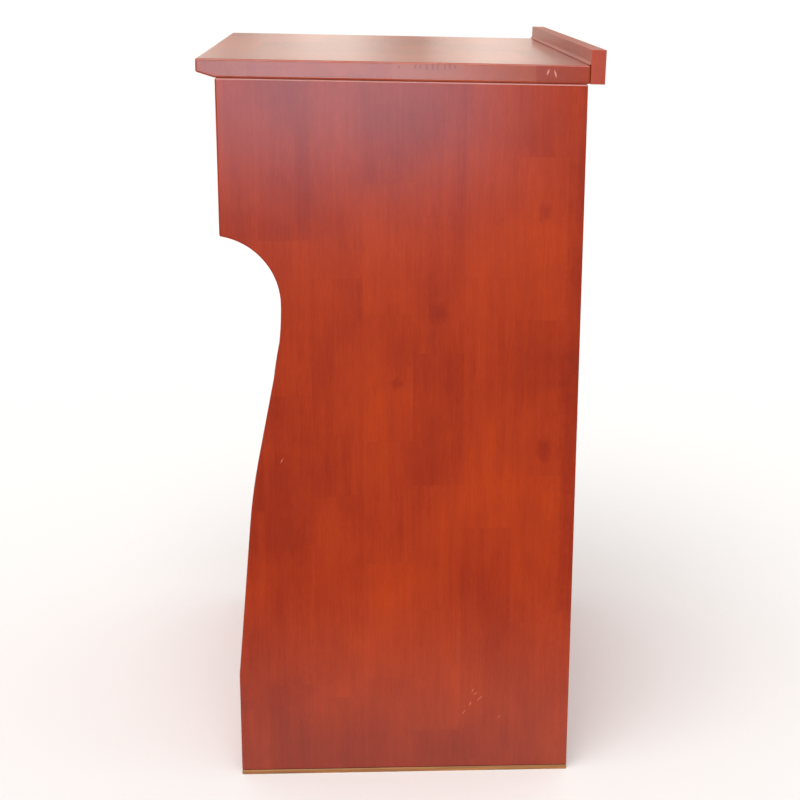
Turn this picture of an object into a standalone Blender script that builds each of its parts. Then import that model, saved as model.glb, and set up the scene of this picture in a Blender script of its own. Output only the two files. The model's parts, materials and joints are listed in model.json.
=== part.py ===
"""Wooden presentation lectern with curved side panels, an open paper bay, a drawer and a cupboard.

Frame: metres, +Z up, -Y towards the audience, +Y towards the speaker, origin at floor level
in the middle of the footprint. "Left" is the speaker's left hand, which is +X.
Depths are measured from the front plane of the head towards the speaker.
"""

import math

import bmesh
import bpy
from mathutils import Matrix, Vector

# ---------------------------------------------------------------- driving dimensions
WIDTH = 0.680  # over the outer faces of the side panels
PANEL_DEPTH = 0.518
PANEL_THICK = 0.022
HEAD_TOP = 1.074  # underside of the top board at the front plane
TOP_THICK = 0.026
TOP_SLOPE = math.radians(1.13)  # falls towards the speaker
FRONT_OVERHANG = 0.0265
TOP_UNDERCUT = 0.0255  # how far back the overhang's underside is chamfered
TOP_UNDERCUT_RISE = 0.0075
REAR_OVERHANG = 0.0025
LEDGE_THICK = 0.0205
LEDGE_HEIGHT = 0.0475
CLEAT_DEPTHS = (0.045, 0.485)  # its two ends
CLEAT_SCREW_DEPTHS = (("front", 0.120), ("rear", 0.410))
CLEAT_SCREW_HEAD = 0.004  # radius
CLEAT_SCREW_SHANK = 0.002  # radius
CLEAT_SCREW_SINK = 0.0028
CLEAT_SCREW_TIP = 0.0155  # above the underside of the top board
BASE_STRIP = 0.007
GAP = 0.0003  # left between pieces that touch

# The cut front edge of a side panel, from the head down to the plinth.
WAIST_DEPTH = 0.085
WAIST_HEIGHT = 0.752
NECK_RADIUS = 0.1015
WAIST_RADIUS = 0.490
UPPER_LEAN = math.atan(0.20)
FLARE_HEIGHT = 0.5175
FLARE_RADIUS = 0.980
LOWER_LEAN = math.atan(0.09)
PLINTH_HEIGHT = 0.170

# Boards that fill the front between the side panels.
REVEAL = 0.002
SKIN_THICK = 0.009
FASCIA_THICK = 0.018
PLINTH_THICK = 0.015

# The carcass behind them.
BOARD = 0.018
CARCASS_REAR = 0.512  # doors, drawer front and shelf edges lie in this plane
FLOOR_TOP = 0.076
DIVIDER_TOP = 0.760
BAY_FLOOR_TOP = 0.880
RAIL_HEIGHT = 0.030
BATTEN_HALF = 0.020  # half its height
BATTEN_THICK = 0.020
KICK_SETBACK = 0.015
CORNER_BLOCK_LEG = 0.030
CORNER_BLOCK_LIFT = 0.003  # clear of the panels' feet

# Drawer.
DRAWER_SIDE = 0.012
DRAWER_FRONT_GAP = 0.003  # above and below the front
DRAWER_BACK_DEPTH = 0.133
DRAWER_LOW = 0.770
DRAWER_HIGH = 0.845
RUNNER_SPACE = 0.013
RUNNER_SHEET = 0.0012
RUNNER_PLAY = 0.001  # between the two channels of a runner
RUNNER_LIP_CLEARANCE = 0.0027  # from the fixed lips to the drawer side
RUNNER_LOW = 0.790
RUNNER_HIGH = 0.824
RUNNER_FRONT_DEPTH = 0.145
RUNNER_REAR_DEPTH = 0.480
DRAWER_FLOOR_LOW = 0.779
DRAWER_FLOOR_THICK = 0.005
GROOVE_DEPTH = 0.006
SCOOP_RADIUS = 0.045
SCOOP_DEPTH = 0.022

# Doors and their hinges.
DOOR_GAP = 0.002
HINGE_EDGE_GAP = 0.0028
HINGE_HEIGHT = 0.050
HINGE_LEVELS = (0.160, 0.660)
BARREL_RADIUS = 0.0028
PIN_RADIUS = 0.0013
LEAF_THICK = 0.0009
LEAF_DEPTH = 0.0196
LEAF_PLATES = {"frame": 0.0017, "door": 0.0006}  # inner face of each leaf from the hinge axis
PIN_HEAD_RIM = 0.0009
PIN_HEAD_HEIGHT = 0.0006
PIN_CROWN = 0.001
FINGER_HOLE_RADIUS = 0.016
FINGER_HOLE_HEIGHT = 0.640
STRIKE_SPAN = (0.030, 0.060)  # from the middle of the cupboard outwards
STRIKE_HEIGHTS = (0.016, 0.004)  # below the door's top edge
STRIKE_THICK = 0.0012
CATCH_SPAN = (0.022, 0.068)
CATCH_HEIGHT = 0.014
CATCH_DEPTH = 0.016

# Adjustable shelf.
SHELF_DEPTHS = (0.050, 0.480)
SHELF_PLAY = 0.0015  # at each end
SHELF_PIN_RADIUS = 0.0025
SHELF_PIN_REACH = 0.008
SHELF_PIN_DEPTHS = (0.100, 0.440)
SHELF_PIN_LEVEL = 0.3972
SHELF_PIN_PITCH = 0.064

# ---------------------------------------------------------------- worked out from them
INNER = WIDTH / 2 - PANEL_THICK  # inner face of a side panel
PANEL_FOOT = BASE_STRIP + GAP
OVERALL_REAR = (PANEL_DEPTH + REAR_OVERHANG + LEDGE_THICK) * math.cos(TOP_SLOPE)
OVERALL_REAR += LEDGE_HEIGHT * math.sin(TOP_SLOPE)
FRONT_Y = (FRONT_OVERHANG * math.cos(TOP_SLOPE) - OVERALL_REAR) / 2  # front plane in the frame

NECK_CENTRE = (WAIST_DEPTH - NECK_RADIUS, WAIST_HEIGHT)
WAIST_CENTRE = (WAIST_DEPTH - WAIST_RADIUS, WAIST_HEIGHT)
WAIST_END_DEPTH = WAIST_CENTRE[0] + WAIST_RADIUS * math.cos(UPPER_LEAN)
WAIST_END_HEIGHT = WAIST_HEIGHT - WAIST_RADIUS * math.sin(UPPER_LEAN)
FLARE_DEPTH = WAIST_END_DEPTH - (WAIST_END_HEIGHT - FLARE_HEIGHT) * math.tan(UPPER_LEAN)
FLARE_CENTRE = (
    FLARE_DEPTH + FLARE_RADIUS * math.cos(UPPER_LEAN),
    FLARE_HEIGHT - FLARE_RADIUS * math.sin(UPPER_LEAN),
)
FLARE_END_DEPTH = FLARE_CENTRE[0] - FLARE_RADIUS * math.cos(LOWER_LEAN)
FLARE_END_HEIGHT = FLARE_CENTRE[1] + FLARE_RADIUS * math.sin(LOWER_LEAN)
PLINTH_DEPTH = FLARE_END_DEPTH - (FLARE_END_HEIGHT - PLINTH_HEIGHT) * math.tan(LOWER_LEAN)

FASCIA_REAR = REVEAL + FASCIA_THICK
PLINTH_REAR = PLINTH_DEPTH + REVEAL + PLINTH_THICK
BATTEN_FRONT = WAIST_DEPTH + REVEAL + SKIN_THICK + GAP
DOOR_FRONT = CARCASS_REAR - BOARD
DOOR_EDGE = INNER - HINGE_EDGE_GAP
DOOR_LOW = FLOOR_TOP + DOOR_GAP
DOOR_HIGH = DIVIDER_TOP - BOARD - DOOR_GAP
HINGE_X = INNER - GAP - BARREL_RADIUS
HINGE_DEPTH = CARCASS_REAR + GAP + BARREL_RADIUS
BAY_FLOOR_LOW = BAY_FLOOR_TOP - BOARD
DRAWER_OUTER = INNER - RUNNER_SPACE
DRAWER_INNER = DRAWER_OUTER - DRAWER_SIDE
SIDES = (("left", 1), ("right", -1))

# name: (colour, roughness, metallic)
FINISHES = {
    "red_stained_wood": ((0.40, 0.075, 0.030), 0.35, 0.0),
    "red_stained_wood_inside": ((0.33, 0.070, 0.030), 0.50, 0.0),
    "pale_ply": ((0.62, 0.44, 0.26), 0.60, 0.0),
    "unstained_wood": ((0.52, 0.30, 0.10), 0.60, 0.0),
    "brassed_steel": ((0.70, 0.52, 0.24), 0.30, 1.0),
    "zinc_plated_steel": ((0.62, 0.63, 0.64), 0.35, 1.0),
    "black_plastic": ((0.03, 0.03, 0.03), 0.45, 0.0),
}


# ---------------------------------------------------------------- helpers
def clear_scene():
    for old in list(bpy.data.objects):
        bpy.data.objects.remove(old, do_unlink=True)


def new_collection(name):
    collection = bpy.data.collections.new(name)
    bpy.context.scene.collection.children.link(collection)
    return collection


def new_finish(name):
    colour, roughness, metallic = FINISHES[name]
    material = bpy.data.materials.new(name)
    material.use_nodes = True
    shader = material.node_tree.nodes["Principled BSDF"]
    shader.inputs["Base Color"].default_value = (*colour, 1)
    shader.inputs["Roughness"].default_value = roughness
    shader.inputs["Metallic"].default_value = metallic
    material.diffuse_color = (*colour, 1)
    return material


def y_of(depth):
    return FRONT_Y + depth


def underside(depth):
    """Height of the top board's underside at a depth behind the front plane."""
    return HEAD_TOP - depth * math.tan(TOP_SLOPE)


def arc(centre, radius, start, end, steps):
    """Points (depth, height) along an arc, angles counted from the +depth direction upwards."""
    return [
        (centre[0] + radius * math.cos(a), centre[1] + radius * math.sin(a))
        for a in (start + (end - start) * k / steps for k in range(steps + 1))
    ]


def neck_arc(inset, start_depth, steps, end_depth=None):
    """The neck, moved in from the panel's edge, from one depth to another or to the waist."""
    radius = NECK_RADIUS + inset
    start, end = (
        0 if depth is None else math.acos((depth - NECK_CENTRE[0]) / radius)
        for depth in (start_depth, end_depth)
    )
    return arc(NECK_CENTRE, radius, start, end, steps)


def lower_edge(inset):
    """The front edge from just under the waist down to the top of the plinth."""
    waist = arc(WAIST_CENTRE, WAIST_RADIUS + inset, -GAP / WAIST_RADIUS, -UPPER_LEAN, 6)
    flare = arc(
        FLARE_CENTRE, FLARE_RADIUS - inset, math.pi - UPPER_LEAN, math.pi - LOWER_LEAN, 5
    )
    foot = (PLINTH_DEPTH + inset / math.cos(LOWER_LEAN), PLINTH_HEIGHT)
    return waist + flare + [foot]


def new_object(name, bm, finish, collection):
    mesh = bpy.data.meshes.new(name)
    bm.to_mesh(mesh)
    bm.free()
    piece = bpy.data.objects.new(name, mesh)
    if finish is not None:
        mesh.materials.append(finish)
    collection.objects.link(piece)
    return piece


def round_edges(piece, radius, segments):
    if radius > 0:
        bevel = piece.modifiers.new("rounded edges", "BEVEL")
        bevel.width = radius
        bevel.segments = segments
        bevel.limit_method = "ANGLE"
        bevel.angle_limit = math.radians(30)


def hang(piece, parent, keep_place=True):
    """Parent a piece to an empty, leaving it where it is in the frame unless told otherwise."""
    piece.parent = parent
    if keep_place:
        piece.matrix_parent_inverse = parent.matrix_world.inverted()


def new_empty(name, location, rotation=(0, 0, 0)):
    empty = bpy.data.objects.new(name, None)
    empty.empty_display_size = 0.05
    empty.matrix_world = Matrix.LocRotScale(
        Vector(location), Matrix.Rotation(rotation[0], 3, "X"), None
    )
    PARTS.objects.link(empty)
    return empty


def board(name, x, y, z, finish, radius=0.001, segments=1):
    """A rectangular board between low and high values along each axis."""
    low = Vector((x[0], y[0], z[0]))
    high = Vector((x[1], y[1], z[1]))
    bm = bmesh.new()
    bmesh.ops.create_cube(bm, size=1)
    bmesh.ops.scale(bm, vec=high - low, verts=bm.verts)
    piece = new_object(name, bm, finish, PARTS)
    piece.location = (low + high) / 2
    round_edges(piece, radius, segments)
    return piece


def profile_mesh(outline, low, high):
    """A flat (depth, height) outline pushed through along X."""
    bm = bmesh.new()
    face = bm.faces.new([bm.verts.new((low, depth, height)) for depth, height in outline])
    pushed = bmesh.ops.extrude_face_region(bm, geom=[face])["geom"]
    moved = [part for part in pushed if isinstance(part, bmesh.types.BMVert)]
    bmesh.ops.translate(bm, vec=(high - low, 0, 0), verts=moved)
    bmesh.ops.recalc_face_normals(bm, faces=bm.faces)
    return bm


def profiled_board(name, outline, x, finish, radius=0.001, segments=1):
    """A board whose outline is seen from the side, between two X values."""
    piece = new_object(name, profile_mesh(outline, *x), finish, PARTS)
    piece.location.y = FRONT_Y
    round_edges(piece, radius, segments)
    return piece


def add_cylinder(bm, centre, radius, length, axis, segments):
    turn = {"X": Matrix.Rotation(math.pi / 2, 4, "Y"), "Y": Matrix.Rotation(math.pi / 2, 4, "X")}
    bmesh.ops.create_cone(
        bm,
        cap_ends=True,
        segments=segments,
        radius1=radius,
        radius2=radius,
        depth=length,
        matrix=Matrix.Translation(centre) @ turn.get(axis, Matrix()),
    )


def cylinders(name, centres, radius, length, axis, segments, finish=None, collection=None):
    bm = bmesh.new()
    for centre in centres:
        add_cylinder(bm, Vector(centre), radius, length, axis, segments)
    return new_object(name, bm, finish, collection or CUTTERS)


def boolean(piece, cutter, operation="DIFFERENCE"):
    cutter.hide_render = True
    cutter.display_type = "WIRE"
    modifier = piece.modifiers.new(cutter.name, "BOOLEAN")
    modifier.operation = operation
    modifier.solver = "EXACT"
    modifier.object = cutter


def turned(name, profile, finish, steps, collection=None):
    """A turned piece: (radius, height) points from its top end down its outer side."""
    bm = bmesh.new()
    points = [bm.verts.new((radius, 0, height)) for radius, height in profile]
    for upper, lower in zip(points, points[1:]):
        bm.edges.new((upper, lower))
    piece = new_object(name, bm, finish, collection or PARTS)
    screw = piece.modifiers.new("turned", "SCREW")
    screw.steps = steps
    screw.render_steps = steps
    screw.use_merge_vertices = True
    screw.merge_threshold = 0.00001
    return piece


# ---------------------------------------------------------------- sides, top and front
def side_panels():
    """Solid panels whose front edge is cut in at the neck and leans out again to the plinth."""
    outline = [
        (PLINTH_DEPTH, PANEL_FOOT),
        (PANEL_DEPTH, PANEL_FOOT),
        (PANEL_DEPTH, underside(PANEL_DEPTH)),
        (0, underside(0)),
        *neck_arc(0, 0, 14),
        *lower_edge(0)[1:],
    ]
    for side, sign in SIDES:
        span = sorted((sign * INNER, sign * WIDTH / 2))
        panel = profiled_board(f"side_panel_{side}", outline, span, WOOD, 0.002, 2)
        levels = [SHELF_PIN_LEVEL + k * SHELF_PIN_PITCH for k in (-1, 0, 1)]
        reach = SHELF_PIN_REACH + GAP
        centres = [(sign * INNER, y_of(d), level) for d in SHELF_PIN_DEPTHS for level in levels]
        holes = cylinders(
            f"shelf_pin_holes_{side}", centres, SHELF_PIN_RADIUS + GAP, 2 * reach, "X", 10
        )
        boolean(panel, holes)
        board(
            f"base_strip_{side}",
            span,
            (y_of(PLINTH_DEPTH), y_of(PANEL_DEPTH)),
            (0, BASE_STRIP),
            BARE_WOOD,
        )


def sloped_top():
    """The board that papers lie on, its ledge, and the cleats screwed up into it."""
    slope = new_empty("top_slope", (0, FRONT_Y, HEAD_TOP), (-TOP_SLOPE, 0, 0))
    board_end = PANEL_DEPTH + REAR_OVERHANG
    half = WIDTH / 2
    outline = [
        (TOP_UNDERCUT - FRONT_OVERHANG, GAP),
        (board_end, GAP),
        (board_end, GAP + TOP_THICK),
        (-FRONT_OVERHANG, GAP + TOP_THICK),
        (-FRONT_OVERHANG, GAP + TOP_UNDERCUT_RISE),
    ]
    top = profiled_board("top_board", outline, (-half, half), WOOD, 0.0025, 3)
    top.location.y = 0
    hang(top, slope, keep_place=False)

    foot = board_end + GAP
    ledge = board(
        "paper_ledge",
        (-half, half),
        (foot, foot + LEDGE_THICK),
        (GAP, LEDGE_HEIGHT),
        WOOD,
        0.002,
        2,
    )
    hang(ledge, slope, keep_place=False)

    for side, sign in SIDES:
        outer = sign * (INNER - GAP)
        span = sorted((outer, outer - sign * BOARD))
        cleat = board(f"top_cleat_{side}", span, CLEAT_DEPTHS, (-GAP - BOARD, -GAP), INSIDE)
        hang(cleat, slope, keep_place=False)
        middle = outer - sign * BOARD / 2
        for place, along in CLEAT_SCREW_DEPTHS:
            cleat_screw(f"cleat_screw_{side}_{place}", (middle, along), cleat, top, slope)


def cleat_screw(name, place, cleat, top, slope):
    """A countersunk screw up through a cleat into the top board, with holes to suit."""
    head, shank, tip, sides = CLEAT_SCREW_HEAD, CLEAT_SCREW_SHANK, CLEAT_SCREW_TIP, 10
    low = -GAP - BOARD
    neck = low + CLEAT_SCREW_SINK
    steel = [(0, tip), (shank, tip - 1.5 * shank), (shank, neck), (head, low), (0, low)]
    wide, narrow = head + 2 * GAP, shank + GAP
    room = [(0, GAP), (narrow, GAP), (narrow, neck + GAP), (wide, low), (wide, low - GAP)]
    screw = turned(name, steel, ZINC, sides)
    sink = turned(f"{name}_sink", room + [(0, low - GAP)], None, sides, CUTTERS)
    hole = cylinders(f"{name}_hole", [(0, 0, 0)], narrow, 2 * (tip + GAP), "Z", sides)
    for shape in (screw, sink, hole):
        shape.location = (*place, 0)
        hang(shape, slope, keep_place=False)
    boolean(cleat, sink)
    boolean(top, hole)


def front_boards():
    """Fascia, moulded neck, curved lower skin and plinth, all held between the side panels."""
    width = (-INNER + GAP, INNER - GAP)
    drip = neck_arc(REVEAL, REVEAL, 3, FASCIA_REAR)
    fascia = [(FASCIA_REAR, underside(FASCIA_REAR) - GAP), (REVEAL, underside(REVEAL) - GAP)]
    profiled_board("front_fascia", fascia + drip, width, WOOD, 0.0008)

    start = FASCIA_REAR + GAP
    outer = neck_arc(REVEAL, start, 10)
    inner = neck_arc(REVEAL + SKIN_THICK, start, 10)
    profiled_board("neck_panel", outer + inner[::-1], width, WOOD, 0)

    outer = lower_edge(REVEAL)
    inner = lower_edge(REVEAL + SKIN_THICK)
    profiled_board("front_lower_panel", outer + inner[::-1], width, WOOD, 0)

    front = (y_of(PLINTH_DEPTH + REVEAL), y_of(PLINTH_REAR))
    board("plinth_board", width, front, (PANEL_FOOT, PLINTH_HEIGHT - GAP), WOOD)


# ---------------------------------------------------------------- carcass
def carcass():
    """Shelves, rails and battens that tie the sides together."""
    width = (-INNER + GAP, INNER - GAP)
    rear = y_of(CARCASS_REAR)
    rail_front = y_of(FASCIA_REAR + GAP)
    batten_rear = BATTEN_FRONT + BATTEN_THICK
    board("waist_batten", width, (y_of(BATTEN_FRONT), y_of(batten_rear)),
          (WAIST_HEIGHT - BATTEN_HALF, WAIST_HEIGHT + BATTEN_HALF), INSIDE)
    board("top_rail_front", width, (rail_front, rail_front + BOARD),
          fit_under(FASCIA_REAR + BOARD), INSIDE)
    board("top_rail_rear", width, (y_of(DOOR_FRONT), rear), fit_under(CARCASS_REAR), WOOD)
    board("paper_bay_floor", width, (rail_front, rear), (BAY_FLOOR_LOW, BAY_FLOOR_TOP), WOOD)
    board("drawer_divider", width, (y_of(batten_rear + GAP), rear),
          (DIVIDER_TOP - BOARD, DIVIDER_TOP), WOOD)
    board("cupboard_floor", width, (y_of(PLINTH_REAR + GAP), rear),
          (FLOOR_TOP - BOARD, FLOOR_TOP), WOOD)
    kick_rear = CARCASS_REAR - KICK_SETBACK
    kick = (y_of(kick_rear - PLINTH_THICK), y_of(kick_rear))
    board("rear_kick_board", width, kick, (PANEL_FOOT, FLOOR_TOP - BOARD - GAP), WOOD)
    corner_blocks(PLINTH_REAR + GAP, kick_rear - PLINTH_THICK - GAP)


def fit_under(depth):
    """Height range of a rail whose deepest edge just clears the sloping top."""
    high = underside(depth + GAP) - GAP
    return (high - RAIL_HEIGHT, high)


def corner_blocks(front, rear):
    """Triangular glue blocks in the four corners under the cupboard floor."""
    leg = CORNER_BLOCK_LEG
    low, high = PANEL_FOOT + CORNER_BLOCK_LIFT, FLOOR_TOP - BOARD - GAP
    for side, sign in SIDES:
        for place, depth, inward in (("front", front, 1), ("rear", rear, -1)):
            bm = bmesh.new()
            corner = Vector((sign * (INNER - GAP), y_of(depth), low))
            along, across = Vector((0, inward * leg, 0)), Vector((sign * leg, 0, 0))
            points = (corner, corner - across, corner + along)
            face = bm.faces.new([bm.verts.new(point) for point in points])
            pushed = bmesh.ops.extrude_face_region(bm, geom=[face])["geom"]
            moved = [part for part in pushed if isinstance(part, bmesh.types.BMVert)]
            bmesh.ops.translate(bm, vec=(0, 0, high - low), verts=moved)
            bmesh.ops.recalc_face_normals(bm, faces=bm.faces)
            new_object(f"corner_block_{place}_{side}", bm, PLY, PARTS)


def adjustable_shelf():
    """A loose shelf on four pins that push into rows of holes in the side panels."""
    low = SHELF_PIN_LEVEL + SHELF_PIN_RADIUS + GAP
    front, rear = (y_of(depth) for depth in SHELF_DEPTHS)
    board("cupboard_shelf", (-INNER + SHELF_PLAY, INNER - SHELF_PLAY), (front, rear),
          (low, low + BOARD), WOOD)
    for side, sign in SIDES:
        for place, depth in zip(("front", "rear"), SHELF_PIN_DEPTHS):
            centre = (sign * INNER, y_of(depth), SHELF_PIN_LEVEL)
            pin = cylinders(f"shelf_pin_{side}_{place}", [(0, 0, 0)], SHELF_PIN_RADIUS,
                            2 * SHELF_PIN_REACH, "X", 10, ZINC, PARTS)
            pin.location = centre


# ---------------------------------------------------------------- drawer
def drawer():
    """A box drawer under the paper bay; everything that slides hangs on one empty."""
    front_low, front_high = DIVIDER_TOP + DRAWER_FRONT_GAP, BAY_FLOOR_LOW - DRAWER_FRONT_GAP
    slide = new_empty("drawer_slide", (0, y_of(CARCASS_REAR), DRAWER_LOW))
    rear = DOOR_FRONT - GAP
    depth = (y_of(DRAWER_BACK_DEPTH), y_of(rear))

    front = board("drawer_front", (-INNER + DOOR_GAP, INNER - DOOR_GAP),
                  (y_of(DOOR_FRONT), y_of(CARCASS_REAR)), (front_low, front_high), WOOD, 0.0015, 2)
    scoop_centre = (0, y_of(DOOR_FRONT), front_high + SCOOP_RADIUS - SCOOP_DEPTH)
    scoop = cylinders("drawer_scoop", [scoop_centre], SCOOP_RADIUS, 4 * BOARD, "Y", 40)
    boolean(front, scoop)
    pieces = [front]

    low, high = DRAWER_FLOOR_LOW, DRAWER_FLOOR_LOW + DRAWER_FLOOR_THICK
    groove_wall = DRAWER_INNER + GROOVE_DEPTH
    groove = board("drawer_grooves", (-groove_wall, groove_wall),
                   (depth[0] - BOARD, depth[1] + BOARD), (low - GAP, high + GAP), None, 0)
    move_to_cutters(groove)
    for side, sign in SIDES:
        span = sorted((sign * DRAWER_INNER, sign * DRAWER_OUTER))
        wall = board(f"drawer_side_{side}", span, depth, (DRAWER_LOW, DRAWER_HIGH), PLY)
        boolean(wall, groove)
        pieces.append(wall)
    inside = (-DRAWER_INNER + GAP, DRAWER_INNER - GAP)
    back = board("drawer_back", inside, (depth[0], depth[0] + DRAWER_SIDE),
                 (high + GAP, DRAWER_HIGH), PLY)
    floor = board("drawer_floor", (-groove_wall + GAP, groove_wall - GAP), depth,
                  (low, high), PLY, 0)
    pieces += [back, floor, *runners()]
    for piece in pieces:
        hang(piece, slide)


def move_to_cutters(piece):
    PARTS.objects.unlink(piece)
    CUTTERS.objects.link(piece)


def channel(name, web, lips, low, high, finish):
    """A folded steel channel seen end on: web X, lip X, and the heights of its two lips."""
    step = RUNNER_SHEET if lips > web else -RUNNER_SHEET
    outline = [
        (web, low),
        (lips, low),
        (lips, low + RUNNER_SHEET),
        (web + step, low + RUNNER_SHEET),
        (web + step, high - RUNNER_SHEET),
        (lips, high - RUNNER_SHEET),
        (lips, high),
        (web, high),
    ]
    bm = bmesh.new()
    start, end = y_of(RUNNER_FRONT_DEPTH), y_of(RUNNER_REAR_DEPTH)
    face = bm.faces.new([bm.verts.new((x, start, z)) for x, z in outline])
    pushed = bmesh.ops.extrude_face_region(bm, geom=[face])["geom"]
    moved = [part for part in pushed if isinstance(part, bmesh.types.BMVert)]
    bmesh.ops.translate(bm, vec=(0, end - start, 0), verts=moved)
    bmesh.ops.recalc_face_normals(bm, faces=bm.faces)
    return new_object(name, bm, finish, PARTS)


def runners():
    """Fixed channels on the side panels and the sliding ones inside them, which are returned."""
    lap = RUNNER_SHEET + RUNNER_PLAY
    sliding = []
    for side, sign in SIDES:
        fixed_web, fixed_lip = INNER - GAP, DRAWER_OUTER + RUNNER_LIP_CLEARANCE
        moving_web, moving_lip = DRAWER_OUTER + GAP, INNER - GAP - lap
        channel(f"runner_{side}_fixed", sign * fixed_web, sign * fixed_lip,
                RUNNER_LOW, RUNNER_HIGH, ZINC)
        sliding.append(channel(f"runner_{side}_sliding", sign * moving_web, sign * moving_lip,
                               RUNNER_LOW + lap, RUNNER_HIGH - lap, ZINC))
    return sliding


# ---------------------------------------------------------------- doors
def doors():
    """Two inset doors that meet at a shared finger hole and swing on butt hinges."""
    leaf_meshes = hinge_leaf_meshes()
    hole = cylinders("finger_hole", [(0, y_of(CARCASS_REAR), FINGER_HOLE_HEIGHT)],
                     FINGER_HOLE_RADIUS, 4 * BOARD, "Y", 28)
    for side, sign in SIDES:
        axis = new_empty(f"door_{side}_axis", (sign * HINGE_X, y_of(HINGE_DEPTH), 0))
        span = sorted((sign * DOOR_GAP / 2, sign * DOOR_EDGE))
        door = board(f"door_{side}", span, (y_of(DOOR_FRONT), y_of(CARCASS_REAR)),
                     (DOOR_LOW, DOOR_HIGH), WOOD, 0.0015, 2)
        boolean(door, hole)
        for piece in (door, strike_and_catch(side, sign)):
            hang(piece, axis)
        for place, level in zip(("lower", "upper"), HINGE_LEVELS):
            hinge(f"hinge_{side}_{place}", sign, level, leaf_meshes, axis)


def strike_and_catch(side, sign):
    """The magnet catch under the divider, and the plate on the door that it holds."""
    strike_rear = y_of(DOOR_FRONT - GAP)
    strike_front = strike_rear - STRIKE_THICK
    span = sorted(sign * x for x in STRIKE_SPAN)
    heights = [DOOR_HIGH - drop for drop in STRIKE_HEIGHTS]
    strike = board(f"strike_plate_{side}", span, (strike_front, strike_rear), heights, ZINC, 0)

    catch_rear = strike_front - GAP
    top = DIVIDER_TOP - BOARD - GAP
    board(f"magnet_catch_{side}", sorted(sign * x for x in CATCH_SPAN),
          (catch_rear - CATCH_DEPTH, catch_rear), (top - CATCH_HEIGHT, top), PLASTIC)
    return strike


def hinge(name, sign, level, leaf_meshes, axis):
    """One butt hinge: a leaf on the side panel, a leaf on the door, and the pin through both."""
    pin = turned(f"{name}_pin", pin_profile(), BRASS, 10)
    frame_leaf = bpy.data.objects.new(f"{name}_frame_leaf", leaf_meshes["frame"])
    door_leaf = bpy.data.objects.new(f"{name}_door_leaf", leaf_meshes["door"])
    for piece in (frame_leaf, door_leaf):
        PARTS.objects.link(piece)
    for piece in (pin, frame_leaf, door_leaf):
        piece.location = (sign * HINGE_X, y_of(HINGE_DEPTH), level)
        if sign < 0:
            piece.rotation_euler.y = math.pi
    bpy.context.view_layer.update()
    hang(door_leaf, axis)


def pin_profile():
    """A headed pin, as (radius, height) from its crown down."""
    half, head = HINGE_HEIGHT / 2 + GAP, PIN_RADIUS + PIN_HEAD_RIM
    return [(0, half + PIN_CROWN), (head, half + PIN_HEAD_HEIGHT), (head, half),
            (PIN_RADIUS, half), (PIN_RADIUS, -half), (0, -half - PIN_HEAD_HEIGHT)]


def hinge_leaf_meshes():
    """Both leaves with the hinge axis on Z: two outer knuckles on the frame's, one on the door's."""
    third = HINGE_HEIGHT / 3
    knuckles = {"frame": (-third, third), "door": (0,)}
    meshes = {}
    for kind, other in (("frame", "door"), ("door", "frame")):
        low = LEAF_PLATES[kind]
        leaf = board(f"{kind}_leaf_blank", (low, low + LEAF_THICK), (-LEAF_DEPTH, -GAP),
                     (-HINGE_HEIGHT / 2, HINGE_HEIGHT / 2), BRASS, 0)
        barrel = cylinders(f"{kind}_barrel", [(0, 0, 0)], BARREL_RADIUS, HINGE_HEIGHT, "Z", 16)
        bore = cylinders(f"{kind}_bore", [(0, 0, 0)], PIN_RADIUS + GAP, 2 * HINGE_HEIGHT, "Z", 12)
        centres = [(0, 0, level) for level in knuckles[other]]
        relief = cylinders(f"{kind}_relief", centres, BARREL_RADIUS + GAP, third + GAP, "Z", 16)
        boolean(leaf, barrel, "UNION")
        boolean(leaf, bore)
        boolean(leaf, relief)
        bpy.context.view_layer.update()
        evaluated = leaf.evaluated_get(bpy.context.evaluated_depsgraph_get())
        meshes[kind] = bpy.data.meshes.new_from_object(evaluated)
        meshes[kind].transform(leaf.matrix_world)
        for used in (leaf, barrel, bore, relief):
            bpy.data.objects.remove(used, do_unlink=True)
    return meshes


clear_scene()
PARTS = new_collection("presentation_lectern")
CUTTERS = new_collection("cutters")
WOOD, INSIDE, PLY, BARE_WOOD, BRASS, ZINC, PLASTIC = (new_finish(name) for name in FINISHES)

side_panels()
sloped_top()
front_boards()
carcass()
adjustable_shelf()
drawer()
doors()
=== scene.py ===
# %% [markdown]
# # A presentation lectern in stained, lacquered wood
#
# The lectern is furniture: two thick side panels sawn from glued-up staves, a sloping top
# with a ledge that stops papers sliding off, a curved front, and on the speaker's side an open bay,
# a drawer and a cupboard. The fixed frame gives every part's place. This script gives
# each one its finished shape and its finish, and adds the small things that repeat.
#
# The frame is loaded first.

# %% Load the frame
import json
import math

import bmesh
import bpy
from mathutils import Matrix, Vector

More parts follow.
